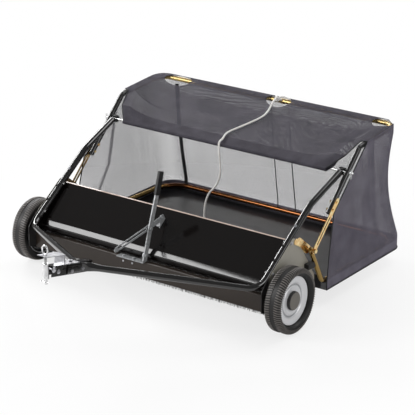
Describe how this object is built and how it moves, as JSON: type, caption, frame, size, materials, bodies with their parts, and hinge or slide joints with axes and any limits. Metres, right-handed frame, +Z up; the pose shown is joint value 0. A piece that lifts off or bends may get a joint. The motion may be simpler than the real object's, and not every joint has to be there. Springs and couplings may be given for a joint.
{
  "type": "tow-behind lawn sweeper",
  "caption": "Ground-driven lawn sweeper with rotary brush, curved hood, drawbar and tipping mesh hopper.",
  "frame": {"origin": "middle of the bounding box in X and Y, on the ground", "axes": "+X to the machine's right, the hitch points to -Y, +Z up"},
  "size_m": [1.432, 1.683, 0.677],
  "materials": {
    "black_paint": "gloss black powder coat",
    "brown_black_paint": "brown-black paint",
    "grey_paint": "satin grey paint",
    "zinc": "clear zinc plate",
    "yellow_zinc": "yellow zinc plate",
    "bright_steel": "bright steel",
    "dark_steel": "oiled dark steel",
    "silver_rim": "silver paint",
    "tyre_rubber": "matt tyre rubber",
    "soft_rubber": "matt rubber",
    "grey_plastic": "satin moulded plastic",
    "black_plastic": "satin moulded plastic",
    "nylon_bristle": "nylon strands",
    "black_vinyl": "glossy vinyl sheet",
    "mesh_cloth": "open woven mesh",
    "rope_fibre": "twisted fibre"
  },
  "bodies": {
    "chassis": {"side_plate_left": "black_paint", "side_plate_right": "grey_paint", "stub_axle_left": "zinc", "stub_axle_right": "zinc", "brush_bearing_left": "black_plastic", "brush_bearing_right": "black_plastic", "drawbar_tube_left": "black_paint", "drawbar_tube_right": "black_paint", "rod_saddle_left": "black_plastic", "rod_saddle_right": "black_plastic", "pivot_lug_left": "yellow_zinc", "pivot_lug_right": "yellow_zinc", "rest_bumper_left": "soft_rubber", "rest_bumper_right": "soft_rubber", "hood": "black_paint", "front_panel": "brown_black_paint", "tongue": "black_paint", "tongue_bolt_front": "zinc", "tongue_bolt_rear": "zinc", "hitch_bolt_front": "zinc", "hitch_bolt_rear": "zinc", "hitch_bracket": "zinc", "hitch_sleeve": "bright_steel", "lever_foot": "zinc", "strap_angle": "zinc"},
    "wheel_left": {"tyre_left": "tyre_rubber", "wheel_rim_left": "silver_rim", "ring_gear_left": "black_plastic", "hub_cap_left": "grey_plastic"},
    "wheel_right": {"tyre_right": "tyre_rubber", "wheel_rim_right": "silver_rim", "ring_gear_right": "black_plastic", "hub_cap_right": "grey_plastic"},
    "brush": {"brush_shaft": "dark_steel", "bristle_strip_1": "nylon_bristle", "bristle_strip_2": "nylon_bristle", "bristle_strip_3": "nylon_bristle", "bristle_strip_4": "nylon_bristle", "pinion_right": "dark_steel"},
    "pinion_drive_left": {"pinion_left": "dark_steel"},
    "height_lever": {"lever_bar": "zinc", "lever_grip": "black_plastic", "lever_clamp_bolt": "zinc"},
    "strap": {"adjusting_strap": "zinc"},
    "hitch_pin_set": {"hitch_pin": "bright_steel", "hitch_hairpin": "bright_steel"},
    "hopper": {"side_tube_left": "black_paint", "side_tube_right": "black_paint", "lift_arm_left": "yellow_zinc", "lift_arm_right": "yellow_zinc", "upper_hoop": "yellow_zinc", "lower_hoop": "yellow_zinc", "cross_rod": "bright_steel", "rod_clip_left": "bright_steel", "rod_clip_right": "bright_steel", "hopper_bag": "mesh_cloth", "hopper_tray": "black_vinyl", "pull_rope": "rope_fibre", "rope_coil": "rope_fibre", "rope_knot": "rope_fibre"}
  },
  "joints": [
    {"name": "wheel_left_spin", "type": "hinge", "parent": "chassis", "child": "wheel_left", "pos_m": [-0.6745, -0.10397, 0.14], "axis": [1, 0, 0], "continuous": true},
    {"name": "wheel_right_spin", "type": "hinge", "parent": "chassis", "child": "wheel_right", "pos_m": [0.6745, -0.10397, 0.14], "axis": [1, 0, 0], "continuous": true},
    {"name": "brush_spin", "type": "hinge", "parent": "chassis", "child": "brush", "pos_m": [0, -0.02613, 0.135], "axis": [1, 0, 0], "continuous": true},
    {"name": "pinion_left_spin", "type": "hinge", "parent": "chassis", "child": "pinion_drive_left", "pos_m": [-0.651, -0.02613, 0.135], "axis": [1, 0, 0], "continuous": true},
    {"name": "hopper_dump", "type": "hinge", "parent": "chassis", "child": "hopper", "pos_m": [0, 0.10603, 0.28], "axis": [1, 0, 0], "range_deg": [0, 75]},
    {"name": "height_lever_swing", "type": "hinge", "parent": "chassis", "child": "height_lever", "pos_m": [0, -0.19097, 0.2], "axis": [1, 0, 0], "range_deg": [0, 20]},
    {"name": "strap_swing", "type": "hinge", "parent": "chassis", "child": "strap", "pos_m": [0, -0.05897, 0.325], "axis": [1, 0, 0], "range_deg": [-4.45, 0]},
    {"name": "hitch_pin_slide", "type": "slide", "parent": "chassis", "child": "hitch_pin_set", "axis": [0, 0, 1], "range_m": [0, 0.0115]}
  ],
  "couplings": [
    {"joint": "brush_spin", "follows": "wheel_right_spin", "ratio": 6},
    {"joint": "pinion_left_spin", "follows": "wheel_left_spin", "ratio": 6},
    {"joint": "strap_swing", "follows": "height_lever_swing", "ratio": -0.2225}
  ]
}
